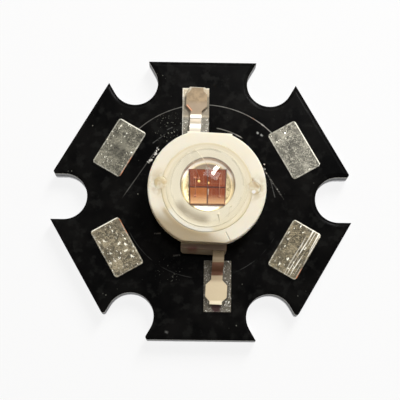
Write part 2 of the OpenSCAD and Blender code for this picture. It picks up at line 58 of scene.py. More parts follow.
# Places are in millimetres. SHADE_WAY is in degrees from +X, and WINDOW_WAY points at the window.
PACKAGE_AXIS: Point = (0.35, 0.19)
DICE_MIDDLE: Point = (0.376, 0.329)
GEL_STREAK: Line = ((3.37, 0.84), (3.88, 0.22))
WINDOW_WAY: Triple = (0.32, 0.6, 0.733)
SHADE_WAY = -120
SOFT_RADIUS: Triple = (1.0, 0.7, 0.4)


def toned(colour: RGB, share: float) -> RGB:
    """A colour made darker or lighter."""
    return tuple(part * share for part in colour)


class Value:
    """A socket of one node tree, on which Python's operators build Math nodes."""

    def __init__(self, nodes: "Nodes", socket: NodeSocket) -> None:
        """Keeps the socket and the tree it belongs to."""
        self.nodes = nodes
        self.socket = socket

    def _math(self, operation: str, *others: Any) -> "Value":
        """The result of one Math node, of this value and of numbers or values for its other sockets."""
        return self.nodes.node("ShaderNodeMath", {"operation": operation}, dict(enumerate((self, *others))))

    def __add__(self, other: Any) -> "Value":
        """Sum."""
        return self._math("ADD", other)

    __radd__ = __add__

    def __mul__(self, other: Any) -> "Value":
        """Product."""
        return self._math("MULTIPLY", other)

    __rmul__ = __mul__

    def __sub__(self, other: Any) -> "Value":
        """Difference."""
        return self._math("SUBTRACT", other)

    def __rsub__(self, other: Any) -> "Value":
        """Difference from a number."""
        return (self * -1.0) + other

    def __pow__(self, other: float) -> "Value":
        """Power."""
        return self._math("POWER", other)

    def __abs__(self) -> "Value":
        """Size without the sign."""
        return self._math("ABSOLUTE")

    def over(self, edge: float, width: float) -> "Value":
        """Smooth step.

        Args:
            edge: the middle of the step.
            width: how wide the step is.

        Returns:
            0 well below the edge and 1 well above it.
        """
        ends = {0: self, 1: edge - width / 2, 2: edge + width / 2, 3: 0.0, 4: 1.0}
        return self.nodes.node("ShaderNodeMapRange", {"interpolation_type": "SMOOTHSTEP"}, ends)

    def under(self, edge: float, width: float) -> "Value":
        """1 well below the edge and 0 well above it."""
        return 1.0 - self.over(edge, width)

    def near(self, width: float) -> "Value":
        """1 where the value is about 0, and 0 from width away."""
        return abs(self).under(width / 2, width)

    def either(self, *others: "Value") -> "Value":
        """The largest of this value and others."""
        return reduce(lambda first, second: first._math("MAXIMUM", second), others, self)


class Nodes:
    """A node tree that expressions fill."""

    def __init__(self, tree: NodeTree) -> None:
        """Empties the tree."""
        self.tree = tree
        tree.nodes.clear()

    def node(
        self,
        kind: str,
        settings: dict[str, Any] | None = None,
        inputs: dict[Any, Any] | None = None,
        out: Any = 0,
    ) -> Value:
        """Adds one node.

        Args:
            kind: the node's type.
            settings: its properties, set before the sockets. "stops" holds a ramp's stops.
            inputs: numbers, colours or values by socket.
            out: which output to give back.

        Returns:
            That output.
        """
        made = self.tree.nodes.new(kind)
        for key, value in (settings or {}).items():
            if key == "stops":
                for i, (at, colour) in enumerate(value):
                    stop = made.color_ramp.elements[i] if i < 2 else made.color_ramp.elements.new(at)
                    stop.position = at
                    stop.color = (*colour, 1.0)
            else:
                setattr(made, key, value)
        for key, value in (inputs or {}).items():
            if isinstance(value, Value):
                self.tree.links.new(value.socket, made.inputs[key])
            elif isinstance(value, tuple) and len(value) == 3 and made.inputs[key].type == "RGBA":
                made.inputs[key].default_value = (*value, 1.0)
            else:
                made.inputs[key].default_value = value
        return Value(self, made.outputs[out])

    def ramp(self, value: Value, *stops: tuple[float, RGB]) -> Value:
        """Colour by a value, from stops of place and colour."""
        return self.node("ShaderNodeValToRGB", {"stops": stops}, {0: value})

    def mix(self, share: Any, low: Any, high: Any) -> Value:
        """Colour between two, by a share."""
        return self.node("ShaderNodeMix", {"data_type": "RGBA"}, {0: share, 6: low, 7: high}, out=2)

    def blend(self, share: Any, low: Value, high: Value) -> Value:
        """Shader between two, by a share."""
        return self.node("ShaderNodeMixShader", {}, {0: share, 1: low, 2: high})

    def ray(self, *kinds: str) -> Value:
        """1 for a ray of one of the kinds, such as Camera, and 0 for any other."""
        first, *others = (self.node("ShaderNodeLightPath", out=f"Is {kind} Ray") for kind in kinds)
        return first.either(*others)

    def finish(self, output: str, shader: Value) -> None:
        """Joins a shader to an output node of a type."""
        self.tree.links.new(shader.socket, self.tree.nodes.new(output).inputs["Surface"])


class Shader(Nodes):
    """One material's node tree, with its coordinates in millimetres and its colour laid on in coats."""

    def __init__(self, name: str) -> None:
        """Starts a material and reads the place on the object.

        Args:
            name: the material's name.
        """
        self.material = bpy.data.materials.new(name)
        self.material.use_nodes = True
        super().__init__(self.material.node_tree)
        self.base: Any = (1.0, 1.0, 1.0)
        place = self.node("ShaderNodeTexCoord", out="Object")
        self.place = self.node("ShaderNodeVectorMath", {"operation": "SCALE"}, {0: place, 3: 1 / MM})
        self.x, self.y, self.z = (
            self.node("ShaderNodeSeparateXYZ", {}, {0: self.place}, out=i) for i in range(3)
        )

    def noise(
        self, size: float, detail: float = 3.0, stretch: Triple = (1, 1, 1), roughness: float = 0.55
    ) -> Value:
        """Cloudy pattern.

        Args:
            size: about how large a cloud is, in millimetres.
            detail: how many finer layers it has.
            stretch: how many times finer it is along each axis.
            roughness: how strong the finer layers are.

        Returns:
            A value about 0.5 on average.
        """
        scale = tuple(times / size for times in stretch)
        at = self.node("ShaderNodeVectorMath", {"operation": "MULTIPLY"}, {0: self.place, 1: scale})
        return self.noise_at(at, detail, roughness)

    def noise_at(self, at: Value, detail: float = 2.0, roughness: float = 0.5) -> Value:
        """Cloudy pattern at a given place, with clouds of about 1 and arguments as for noise."""
        inputs = {"Vector": at, "Scale": 1.0, "Detail": detail, "Roughness": roughness}
        return self.node("ShaderNodeTexNoise", {}, inputs)

    def streaks(self, x: Value, y: Value, seed: float = 0.0) -> Value:
        """Cloudy pattern over two values, with a number that tells one such pattern from another."""
        return self.noise_at(self.node("ShaderNodeCombineXYZ", {}, {0: x, 1: y, 2: seed}))

    def cells(self, size: float) -> Value:
        """Distance to the middle of the nearest of many small cells of a size in millimetres."""
        at = self.node("ShaderNodeVectorMath", {"operation": "SCALE"}, {0: self.place, 3: 1 / size})
        return self.node("ShaderNodeTexVoronoi", {}, {"Vector": at, "Scale": 1.0}, out="Distance")

    def bump(self, height: Value, depth: float) -> Value:
        """Normal from a pattern, of which a 1 stands up by a depth in millimetres."""
        return self.node("ShaderNodeBump", {}, {"Height": height, "Distance": depth * MM, "Strength": 1.0})

    def reach(self, x: float, y: float) -> Value:
        """Distance from an upright axis, in millimetres."""
        return ((self.x - x) ** 2.0 + (self.y - y) ** 2.0) ** 0.5

    def turned(self, x: float, y: float, degrees: float) -> tuple[Value, Value]:
        """Place in a frame that is moved and turned.

        Args:
            x: the frame's middle.
            y: the frame's middle.
            degrees: how far its first axis is turned from +X.

        Returns:
            The place along its first and its second axis.
        """
        c, s = math.cos(math.radians(degrees)), math.sin(math.radians(degrees))
        dx, dy = self.x - x, self.y - y
        return dx * c + dy * s, dy * c - dx * s

    def stroke(self, start: Point, end: Point, width: float) -> Value:
        """A line from one point to another.

        Args:
            start: where it starts, in millimetres.
            end: where it ends.
            width: how wide it is.

        Returns:
            1 on the line and 0 away from it.
        """
        dx, dy = end[0] - start[0], end[1] - start[1]
        length = math.hypot(dx, dy)
        middle = ((start[0] + end[0]) / 2, (start[1] + end[1]) / 2)
        along, across = self.turned(*middle, math.degrees(math.atan2(dy, dx)))
        return across.near(width) * abs(along).under(length / 2, width)

    def crescent(self, middle: Point, radius: float, width: float, towards: float = SHADE_WAY) -> Value:
        """A soft curved patch round an axis.

        Args:
            middle: the axis, in millimetres.
            radius: how far the patch's middle line is from the axis.
            width: how wide it is on either side of that line.
            towards: the direction of the patch's middle, in degrees from +X.

        Returns:
            1 in the patch and 0 away from it.
        """
        out, along = self.reach(*middle), self.turned(*middle, towards)[0]
        end_cosine = 0.84
        return (out - radius).near(width) * (along - out * end_cosine).over(0.0, 0.3)

    def coat(self, share: Any, colour: Any) -> None:
        """Lays a colour over the material's own, by a share."""
        self.base = self.mix(share, self.base, colour)

    def painted_shade_band(self) -> None:
        """Lays the crescent of painted shade at the slug's edge."""
        self.coat(self.crescent(PACKAGE_AXIS, 1.55, 0.5) * 0.92, (0.34, 0.27, 0.17))

    def streak(self, pattern: Value) -> None:
        """Lays the brown streak at the right filling hole, broken up by a pattern."""
        self.coat(self.stroke(*GEL_STREAK, 0.2) * pattern.over(0.4, 0.3) * 0.8, (0.42, 0.28, 0.12))

    def surface(self, **inputs: Any) -> Value:
        """The main shader in the material's colour, with sockets by name and underscores for spaces."""
        named = {"Base Color": self.base} | {key.replace("_", " "): value for key, value in inputs.items()}
        return self.node("ShaderNodeBsdfPrincipled", {}, named)

    def done(self, shader: Value) -> Material:
        """Joins the shader to the output and gives the material."""
        self.finish("ShaderNodeOutputMaterial", shader)
        return self.material

    def paint(self, **inputs: Any) -> Material:
        """The material that the main shader alone gives, with sockets as for surface."""
        return self.done(self.surface(**inputs))


@dataclass(frozen=True)
class GrainedFinish:
    """A plain finish with a fine grain between two tones."""

    name: str
    size: float
    low: RGB
    high: RGB
    roughness: Point
    depth: float
    metallic: float = 0.0
    detail: float = 4.0
    step: Point | None = None
    shade_banded: bool = False

    def make(self) -> Material:
        """Builds the material.

        Returns:
            The material.
        """
        s = Shader(self.name)
        grain = s.noise(self.size, self.detail)
        s.base = s.mix(grain.over(*self.step) if self.step else grain, self.low, self.high)
        # Crescent of painted shade at the slug's edge.
        if self.shade_banded:
            s.painted_shade_band()
        rough, more = self.roughness
        rough = rough + grain * more if more else rough
        return s.paint(Metallic=self.metallic, Roughness=rough, Normal=s.bump(grain, self.depth))


RESIN_LAYER = GrainedFinish("resin_layer", 0.06, (0.42, 0.38, 0.27), (0.6, 0.56, 0.42), (0.6, 0.2), 0.004)
COPPER_FOIL = GrainedFinish(
    "copper_foil", 0.08, (0.78, 0.4, 0.25), (0.5, 0.24, 0.15), (0.3, 0.25), 0.003, 1.0, step=(0.55, 0.3)
)
DIE_ADHESIVE = GrainedFinish(
    "die_adhesive", 0.03, (0.2, 0.07, 0.04), (0.32, 0.13, 0.08), (0.6, 0.0), 0.004, metallic=0.2
)
SHAVINGS = GrainedFinish(
    "ring_shavings", 0.07, (0.9, 0.88, 0.84), (0.75, 0.72, 0.66), (0.45, 0.2), 0.01, detail=3.0
)
# The milk in the gel round the slug is the moulding's own cream, and it carries the slug's crescent of
# painted shade.
MILKY_GEL = GrainedFinish(
    "milky_gel", 0.8, (0.92, 0.86, 0.71), (0.87, 0.79, 0.62), (0.5, 0.1), 0.02, detail=3.0, shade_banded=True
)


@dataclass(frozen=True)
class CoreMetal:
    """Rolled aluminium with punched walls, torn in their lower half and smeared dark above the foot."""

    colour: RGB = (0.78, 0.78, 0.79)
    shear_z: float = 0.95
    foot_z: float = 0.35

    def make(self) -> Material:
        """Builds the material.

        Returns:
            The material.
        """
        s = Shader("core_metal")
        torn, smeared = s.z.under(self.shear_z, 0.12), s.z.over(self.foot_z, 0.15)
        grain, teeth = s.noise(0.5, 6, (1, 9, 1)), s.noise(0.12, 4, (1, 1, 0.12))
        s.base = s.mix(grain.over(0.5, 0.5) * 0.35, self.colour, (0.6, 0.6, 0.62))
        s.coat(torn * teeth.over(0.5, 0.3) * 0.6, (0.42, 0.42, 0.43))
        s.coat(smeared * 0.9, s.mix(teeth.over(0.5, 0.5), (0.09, 0.09, 0.09), (0.2, 0.2, 0.2)))
        return s.paint(
            Metallic=1.0,
            Roughness=0.32 + grain * 0.12 + torn * 0.22 + smeared * 0.2,
            Normal=s.bump(teeth * torn + grain * 0.25, 0.01),
        )


@dataclass(frozen=True)
class BlackMask:
    """Black mask, with painted highlights as fine lines along the copper's edges under it, tinted by the
    copper in places, and with scuffs.
    """

    trace_x: float = 0.15
    upper_r: float = 6.785
    lower_r: float = 5.725
    window_r: float = 5.145
    window_flat: float = 4.715
    window_turn: float = 33.5
    line_w: float = 0.05
    # Start, end, width and strength of each.
    scratches: tuple[tuple[Point, Point, float, float], ...] = (
        ((-3.27, -2.61), (-2.8, -2.59), 0.09, 0.55),
        ((-1.93, -4.16), (-1.43, -4.11), 0.1, 0.6),
        ((-2.4, -9.45), (-2.18, -9.53), 0.14, 0.4),
        ((3.9, 4.81), (4.02, 4.72), 0.11, 1.5),
        ((4.19, 4.66), (4.31, 4.53), 0.11, 1.3),
        ((-2.5, 4.9), (-2.1, 5.1), 0.06, 0.25),
        ((-3.5, 3.9), (-2.6, 4.6), 0.05, 0.3),
        ((4.9, 1.3), (5.2, 0.1), 0.05, 0.35),
    )
    pale: RGB = (0.5, 0.5, 0.48)

    def edge_highlights(self, s: Shader) -> tuple[Value, Value]:
        """Painted highlights along the copper's edges under the mask.

        Args:
            s: the material that they are drawn in.

        Returns:
            The bright lines and the faint ones.
        """
        patch, spark = s.noise(0.9, 3).over(0.47, 0.3), s.noise(0.16, 3).over(0.58, 0.14)
        out = s.reach(self.trace_x, 0)
        upper = (out - self.upper_r).near(self.line_w) * s.y.over(2.9, 0.8)
        upper = upper * (0.25 + patch * 0.2 + s.x.over(0.0, 1.0) * 0.12 + s.x.over(3.4, 1.0) * 0.3)
        glint = (out - self.upper_r).near(self.line_w * 1.6) * s.reach(4.35, 5.41).under(0.14, 0.1)
        inner = (out - self.window_r).near(self.line_w) * s.x.over(1.05, 0.1) * s.x.under(2.85, 0.2)
        inner = inner * s.y.over(0.0, 0.5) * (0.5 + s.reach(2.62, 4.52).under(0.25, 0.2) * 0.5)
        span = s.y.over(0.2, 0.8) * s.y.under(3.6, 0.5)
        left, right = (
            (s.turned(self.trace_x, 0, turn)[0] - self.window_flat).near(self.line_w * width) * span
            for turn, width in ((180 - self.window_turn, 1.0), (self.window_turn, 1.4))
        )
        left = left * s.x.under(-1.0, 0.2) * (0.1 + patch * 0.15)
        right = right * s.x.over(1.0, 0.2) * (0.12 + spark * 0.9)
        lower = (out - self.lower_r).near(self.line_w) * s.y.under(-2.6, 0.8)
        return upper.either(glint, inner, left, right), lower

    def scuffs(self, s: Shader) -> Value:
        """Short scratches and dull rubbed spots.

        Args:
            s: the material that they are drawn in.

        Returns:
            Their strength, and 0 where there is none.
        """
        first, *others = (s.stroke(*line, width) * share for *line, width, share in self.scratches)
        return first.either(*others) * s.noise(0.12, 3).over(0.42, 0.3)

    def make(self) -> Material:
        """Builds the material.

        Returns:
            The material.
        """
        s = Shader("black_mask")
        bright, faint = self.edge_highlights(s)
        cloud, grain = s.noise(2.2, 4), s.noise(0.07, 3)
        dust = s.cells(0.55).under(0.07, 0.05) * s.noise(1.6, 2).over(0.6, 0.12)
        upper = s.reach(-2.2, 5.0).under(1.0, 1.0) * s.noise(0.13, 2).over(0.68, 0.08)
        lower = s.reach(-2.3, -5.2).under(0.9, 0.8) * s.noise(0.15, 2).over(0.7, 0.08)
        warm = s.noise(0.6, 2).over(0.64, 0.06) * s.x.over(2.0, 1.0) * 0.6
        s.base = s.mix(cloud.over(0.5, 0.4), (0.0014, 0.0014, 0.0015), (0.006, 0.0057, 0.0053))
        s.coat(s.noise(0.7, 4).over(0.58, 0.15) * 0.6, (0.013, 0.013, 0.012))
        # Painted highlights along the copper's edges, tinted by the copper where it shows.
        s.coat(faint * s.noise(1.1, 2).over(0.5, 0.2) * 0.07, self.pale)
        s.coat(bright * 0.75, s.mix(warm, (0.62, 0.6, 0.55), (0.75, 0.36, 0.2)))
        s.coat((dust * 0.4).either(upper.either(lower * 0.6) * 0.5), (0.5, 0.5, 0.42))
        s.coat(self.scuffs(s) * 0.6, self.pale)
        return s.paint(
            Roughness=0.08 + grain * 0.05 + cloud * 0.04,
            Specular_IOR_Level=0.02,
            Normal=s.bump(bright * 0.6 + grain * 0.25 + cloud * 0.4, 0.012),
        )


@dataclass(frozen=True)
class TinnedLand:
    """Dull tinning on a wire land, with flecks, pits, a painted highlight along one edge and, on some lands,
    bare copper at an edge.
    """

    name: str
    turn: float
    seed: float
    tone: RGB
    flecks: float
    scratched: bool = False
    smooth: bool = False
    # The edge with the painted highlight: 0 for the long edges or 1 for the short ones, and which of the two.
    lit: tuple[int, float] = (1, -1.0)
    # Bare copper on a long edge: which of the two, and from where to where.
    copper: Triple | None = None
    reach: float = 7.17
    middle: Point = (0.36, -0.03)
    half_w: float = 1.12
    half_l: float = 1.875

    def make(self) -> Material:
        """Builds the material.

        Returns:
            The material.
        """
        s = Shader(f"wire_tin_{self.name}")
        way = math.radians(self.turn)
        at = (self.middle[0] + self.reach * math.cos(way), self.middle[1] + self.reach * math.sin(way))
        out, across = s.turned(*at, self.turn)
        cloud, fine = s.noise(0.9 + self.seed * 0.1, 4), s.noise(0.05, 3)
        grain = s.noise(0.17, 3, (1 + self.seed * 0.05, 1, 1), 0.65)
        fleck = s.streaks(out * 6.0, across * 3.2, self.seed).over(0.68 - 0.05 * self.flecks, 0.08)
        fleck = fleck * s.noise(0.9 + self.seed * 0.13, 2).over(0.5, 0.2)
        pit = s.noise(0.13, 3, (1, 1.07 + self.seed * 0.01, 1)).under(0.38, 0.1)
        fold = abs(s.noise(0.3, 3, (1, 1.1 + self.seed * 0.02, 1)) - 0.5).under(0.025, 0.035)
        worn = s.noise(0.8 + self.seed * 0.07, 2).over(0.42, 0.12)
        if self.smooth:
            plain = (out ** 2.0 + (across - 0.2) ** 2.0).under(0.3, 0.3)
            worn = worn.either(abs(across - 0.15).over(0.9, 0.4)) * (1.0 - plain)
            fleck = fleck * worn
        dark, pale = toned(self.tone, 0.13), toned(self.tone, 0.44)
        s.base = s.ramp(cloud * 0.35 + grain * 0.65, (0.38, dark), (0.62, pale))
        s.coat(cloud.over(0.58, 0.12) * 0.45, toned(self.tone, 0.85))
        s.coat(pit * 0.5, toned(self.tone, 0.06))
        s.coat(fold * worn * 0.5, toned(self.tone, 1.25))
        s.coat(fleck * 0.85, (0.88, 0.85, 0.72))
        sides = ((out, self.half_w), (across, self.half_l))
        edge, end = ((abs(place) - half + 0.05).near(0.07) for place, half in sides)
        s.coat(edge.either(end) * s.noise(0.4, 2).over(0.45, 0.3) * 0.4, (0.6, 0.58, 0.5))
        # Painted highlight along one edge.
        place, half = sides[self.lit[0]]
        lit = (place - self.lit[1] * (half - 0.04)).near(0.06)
        s.coat(lit * (0.35 + grain * 0.6), (0.95, 0.92, 0.8))
        if self.copper:
            side, low, high = self.copper
            bare = (out - side * (self.half_w - 0.01)).near(0.05) * across.over(low, 0.3)
            bare = bare * across.under(high, 0.3)
            s.coat(bare * s.noise(0.5, 2).over(0.42, 0.2) * 0.9, (0.5, 0.17, 0.06))
        height = cloud * 1.2 + grain * 0.7 + fine * 0.12 + fleck * 0.3 + fold * 0.3
        if self.scratched:
            along, side = s.turned(0, 0, self.turn)
            lines = s.streaks(along * 9.0, side * 0.25).over(0.58, 0.08) * out.over(0.2, 0.5)
            s.coat(lines * 0.7, (0.9, 0.86, 0.76))
            height = height + lines * 0.3
        return s.paint(Metallic=0.75, Roughness=0.5 - fleck * 0.25 + fine * 0.1, Normal=s.bump(height, 0.022))


@dataclass(frozen=True)
class LeadSolder:
    """Solder on a lead land: dull and granular, with bright and brown spots, a painted highlight along its
    side and outer end, and painted shade round the upper lead's foot.
    """

    burnt_at: Point = (1.1, -7.75)
    crumbs_at: Point = (1.75, -7.6)
    flux_y: float = 5.9

    def make(self) -> Material:
        """Builds the material.

        Returns:
            The material.
        """
        s = Shader("lead_solder")
        cloud, grain = s.noise(0.35, 4), s.noise(0.09, 4)
        fleck, flux = s.noise(0.08, 3).over(0.62, 0.1), s.y.over(self.flux_y, 0.3)
        side = s.x.under(-1.36, 0.08) * (s.y.over(4.0, 0.5) * 0.3 + s.y.over(7.2, 0.2) * 0.6)
        # Painted highlight along the side and the outer end.
        lit = (s.y.over(7.9, 0.1) * 0.5).either(side) * grain.over(0.45, 0.2)
        shaded_hollow = s.y.over(5.95, 0.2) * s.y.under(7.35, 0.2)
        crumbs = s.reach(*self.crumbs_at).under(0.55, 0.4) * fleck
        s.base = s.ramp(cloud * 0.5 + grain * 0.5, (0.3, (0.07, 0.063, 0.05)), (0.7, (0.18, 0.165, 0.13)))
        s.coat(s.y.under(0.0, 1.0) * 0.6, (0.03, 0.022, 0.012))
        s.coat(flux * cloud.over(0.3, 0.2), (0.46, 0.38, 0.26))
        # Painted shade round the upper lead's foot.
        s.coat(shaded_hollow * 0.6, (0.04, 0.036, 0.025))
        # Bright flecks and crumbs, with the painted highlight.
        s.coat((fleck * (0.5 - shaded_hollow * 0.3)).either(lit * 0.9, crumbs), (0.92, 0.9, 0.82))
        s.coat(s.reach(*self.burnt_at).under(0.35, 0.25), (0.03, 0.012, 0.012))
        return s.paint(
            Metallic=0.75 - flux * 0.5,
            Roughness=0.45 - fleck * 0.2,
            Normal=s.bump(cloud + grain * 0.5 + fleck * 0.3, 0.02),
        )


@dataclass(frozen=True)
class LeadPlating:
    """Bright tin on the stamped leads, with bare copper and a painted highlight at a cut edge, and painted
    shade, reflection and highlight where the strip is bent.
    """

    name: str
    colour: RGB = (0.86, 0.8, 0.7)
    cut: Line | None = None
    film: tuple[float, RGB] | None = None
    # Where the lower lead's slope has a painted dark reflection, from low to high y.
    bare: Point | None = None
    # Painted shade bands at the bends and in the moulding's shadow: place along the lead, width, strength and
    # tone of each, on a lead with a film.
    shade_bands: tuple[tuple[float, float, float, RGB], ...] = (
        (5.66, 0.09, 0.9, (0.26, 0.24, 0.21)),
        (5.16, 0.12, 0.45, (0.72, 0.62, 0.36)),
        (4.5, 0.42, 0.95, (0.36, 0.325, 0.26)),
    )

    def make(self) -> Material:
        """Builds the material.

        Returns:
            The material.
        """
        s = Shader(self.name)
        cloud, fine = s.noise(0.5, 4), s.noise(0.07, 3)
        drag = s.noise(0.14, 3, (1, 0.15, 1))
        s.base = s.mix(cloud * 0.4, self.colour, toned(self.colour, 0.85))
        metal, rough = 0.7 + fine * 0.1, 0.3 + cloud * 0.14
        if self.film:
            start, colour = self.film
            film = s.y.over(start, 0.12)
            blotched = s.mix(s.noise(0.35, 3).over(0.5, 0.25), colour, toned(colour, 0.72))
            s.coat(film, s.mix(s.y.under(6.85, 0.4) * 0.8, blotched, (0.37, 0.285, 0.2)))
            metal, rough = metal * (1.0 - film * 0.8), rough + film * 0.25
            # Painted shade bands at the bends and in the moulding's shadow.
            for at, width, share, tint in self.shade_bands:
                s.coat((s.y - at).near(width) * share, tint)
        # Bare copper at the cut edge, with a painted highlight along it.
        if self.cut:
            s.coat(s.stroke(*self.cut, 0.11) * 0.95, (0.5, 0.13, 0.03))
            s.coat(s.stroke(*self.cut, 0.04) * 0.9, (0.95, 0.6, 0.4))
        if self.bare:
            # Painted light on the lower lead: a dark reflection on its slope, the moulding's shadow next to
            # the body, more shade below the slope and a highlight at the tip.
            low, high = self.bare
            bare, shade = s.y.over(low, 0.06) * s.y.under(high, 0.06), s.y.over(-4.8, 0.3)
            s.coat(bare * 0.92, s.mix(fine, (0.12, 0.035, 0.015), (0.2, 0.07, 0.03)))
            s.coat(shade * (0.7 + s.y.over(-4.45, 0.12) * 0.25), (0.14, 0.095, 0.045))
            s.coat(s.y.over(-5.95, 0.3) * s.y.under(-5.5, 0.1) * 0.45, (0.13, 0.08, 0.04))
            s.coat(s.y.under(-7.32, 0.15) * 0.5, (0.85, 0.76, 0.58))
            dull = bare.either(shade)
            metal, rough = metal * (1.0 - dull * 0.6), rough + dull * 0.2
        height = cloud * 0.8 + drag * 0.3 + fine * 0.1
        return s.paint(Metallic=metal, Roughness=rough, Normal=s.bump(height, 0.012))


@dataclass(frozen=True)
class CreamMoulding:
    """The cream moulding, with its parting mark, the gel's stains at the filling holes, the dome's shadow
    painted on the ring and painted shade on its front wall.
    """

    colour: RGB = (0.9, 0.82, 0.65)
    seam: Line = ((1.65, -2.88), (1.97, -3.5))
    smudge: Line = ((-0.96, -3.9), (-0.28, -3.89))
    holes: Line = ((-2.82, 0.47), (3.57, 0.19))
    top_z: float = 4.1
    wall_y: float = -3.6

    def make(self) -> Material:
        """Builds the material.

        Returns:
            The material.
        """
        s = Shader("cream_moulding")
        cloud, fine, blot = s.noise(1.8, 4), s.noise(0.1, 4), s.noise(0.4, 4)
        top, wall = s.z.over(self.top_z, 0.1), s.y.under(self.wall_y, 0.1)
        seam = s.stroke(*self.seam, 0.07) * top
        smudge = s.stroke(*self.smudge, 0.3) * wall * cloud.over(0.4, 0.3)
        left, right = (s.reach(*hole) for hole in self.holes)
        stain = left.under(0.85, 0.8).either(right.under(0.8, 0.8))
        # Painted shadow of the dome, darkest towards the lower left.
        dome_shadow = s.turned(*PACKAGE_AXIS, -112)[0].over(2.95, 0.9)
        s.base = s.mix(cloud.over(0.5, 0.6), self.colour, (0.93, 0.87, 0.73))
        s.coat(stain * blot.over(0.47, 0.3) * 0.7, (0.6, 0.47, 0.26))
        s.streak(blot)
        # Painted shadow of the dome on the ring: a crescent, then the darker lower left.
        s.coat(s.crescent(PACKAGE_AXIS, 3.3, 0.3) * top * 0.85, (0.55, 0.43, 0.24))
        s.coat(dome_shadow * 0.95, (0.46, 0.36, 0.215))
        # Painted shade on the front wall below the ring's top.
        shaded = s.mix(s.z.under(3.1, 0.3), (0.2, 0.13, 0.085), (0.33, 0.25, 0.165))
        s.coat(wall * s.z.under(self.top_z, 0.12) * 0.95, shaded)
        s.coat(seam * 0.7, (0.4, 0.34, 0.26))
        s.coat(smudge * 0.7, (0.14, 0.02, 0.015))
        return s.paint(
            Roughness=0.42 + cloud * 0.12,
            Subsurface_Weight=0.3,
            Subsurface_Radius=SOFT_RADIUS,
            Subsurface_Scale=0.4 * MM,
            Normal=s.bump(fine * 0.5 + cloud * 0.6 - seam * 1.5, 0.012),
        )


@dataclass(frozen=True)
class SlugPlating:
    """Bright silver plating, turned on the slug's rim and polished in its cup, with painted shade at the
    slug's edge, a painted reflection low in the cup and the cup's far wall painted lighter to lift its shade.
    """

    cup_r: float = 1.235
    floor_r: float = 0.97

    def make(self) -> Material:
        """Builds the material.

        Returns:
            The material.
        """
        s = Shader("slug_plating")
        out, cloud = s.reach(*DICE_MIDDLE), s.noise(0.3, 4)
        u, v = s.x - DICE_MIDDLE[0], s.y - DICE_MIDDLE[1]
        cup = out.under(self.cup_r - 0.02, 0.02)
        wall, far = out.over(self.floor_r, 0.05) * cup, v.over(0.35, 0.4)
        s.base = s.mix(cloud * 0.5, (0.9, 0.84, 0.7), (0.84, 0.76, 0.6))
        # Crescent of painted shade at the slug's edge.
        s.painted_shade_band()
        blotched = s.mix(s.noise(0.13, 3).over(0.5, 0.2), (0.66, 0.55, 0.33), (0.34, 0.25, 0.12))
        # Painted reflection: the cup is white low down.
        s.coat(cup, s.mix(v.under(-0.62, 0.25), blotched, (0.98, 0.97, 0.95)))
        s.coat(cup * v.over(0.72, 0.1) * abs(u).under(0.5, 0.2), (0.3, 0.23, 0.17))
        olive = s.mix(u.under(0.0, 0.6), (0.72, 0.58, 0.34), (0.38, 0.3, 0.14))
        silver = s.mix(cloud, (1.0, 0.93, 0.86), (0.9, 0.81, 0.72))
        # The cup's far wall is painted bright silver to lift its shade.
        s.coat(wall, s.mix(far, olive, silver))
        s.coat((out - self.floor_r).near(0.05) * 0.8, (0.98, 0.82, 0.5))
        s.coat((out - self.cup_r).near(0.035) * 0.75, (0.2, 0.17, 0.14))
        return s.paint(
            Metallic=cup * (0.7 + wall * (far * 0.65 - 0.4)),
            Roughness=0.6 - cup * 0.22 + cloud * 0.1,
            Normal=s.bump(cloud, 0.004),
        )


@dataclass(frozen=True)
class RedDie:
    """A red emitting die: a dark mesa with a fine contact pattern and brighter sawn edges."""

    name: str
    steps: Point
    colour: RGB = (0.27, 0.045, 0.002)
    glow_share: float = 0.0
    contact: Triple = (0.0, 0.0, 0.0)
    glint: Line | None = None
    glow: RGB = (1.0, 0.62, 0.33)
    half_w: float = 0.36
    step: float = 0.375

    def make(self) -> Material:
        """Builds the material.

        Returns:
            The material.
        """
        s = Shader(f"die_{self.name}")
        x, y = (middle + steps * self.step for middle, steps in zip(DICE_MIDDLE, self.steps))
        u, v = s.x - x, s.y - y
        cloud, grain = s.noise(0.22, 3), s.noise(0.035, 3)
        s.base = s.mix(cloud.over(0.5, 0.5), self.colour, toned(self.colour, 1.2))
        # Painted glow: the lower side of a die is lighter orange.
        s.coat(v.under(-0.12, 0.5) * self.glow_share, self.glow)
        finger = (abs(u) - 0.2).near(0.022).either((v + 0.22).near(0.02)) * 0.35
        s.coat(finger * abs(v).under(0.3, 0.05), (0.62, 0.3, 0.16))
        side, end = (abs(place).over(self.half_w - 0.02, 0.02) for place in (u, v))
        s.coat(side.either(end) * 0.6, (0.12, 0.03, 0.02))
        at_u, at_v, size = self.contact
        pad = (((u - at_u) ** 2.0 + (v - at_v) ** 2.0) ** 0.5).under(size, 0.03)
        s.coat(pad, (0.95, 0.62, 0.2))
        if self.glint:
            start, end = ((x + along, y + up) for along, up in self.glint)
            s.coat(s.stroke(start, end, 0.05) * 0.8, (0.9, 0.75, 0.6))
        return s.paint(
            Metallic=pad * 0.5,
            Specular_IOR_Level=0.02,
            Roughness=0.35 + grain * 0.2,
            Normal=s.bump(grain * 0.3 + cloud * 0.5, 0.003),
        )


@dataclass(frozen=True)
class GoldWire:
    """Drawn gold wire, painted with the tone it reflects from under it: ruddy over the dice and pale over the
    cream round them.
    """

    pale: RGB = (0.9, 0.82, 0.66)
    ruddy: RGB = (0.42, 0.12, 0.05)
    dice_r: float = 0.95

    def make(self) -> Material:
        """Builds the material.

        Returns:
            The material.
        """
        s = Shader("gold_wire")
        grain, out = s.noise(0.03, 3), s.reach(*DICE_MIDDLE).over(self.dice_r, 0.25)
        # Painted reflection of what lies under the wire.
        s.base = s.mix(out, self.ruddy, self.pale)
        s.coat(grain * 0.3 * (1.0 - out), (0.7, 0.5, 0.3))
        return s.paint(Metallic=0.6 - out * 0.25, Roughness=0.5 + grain * 0.15)


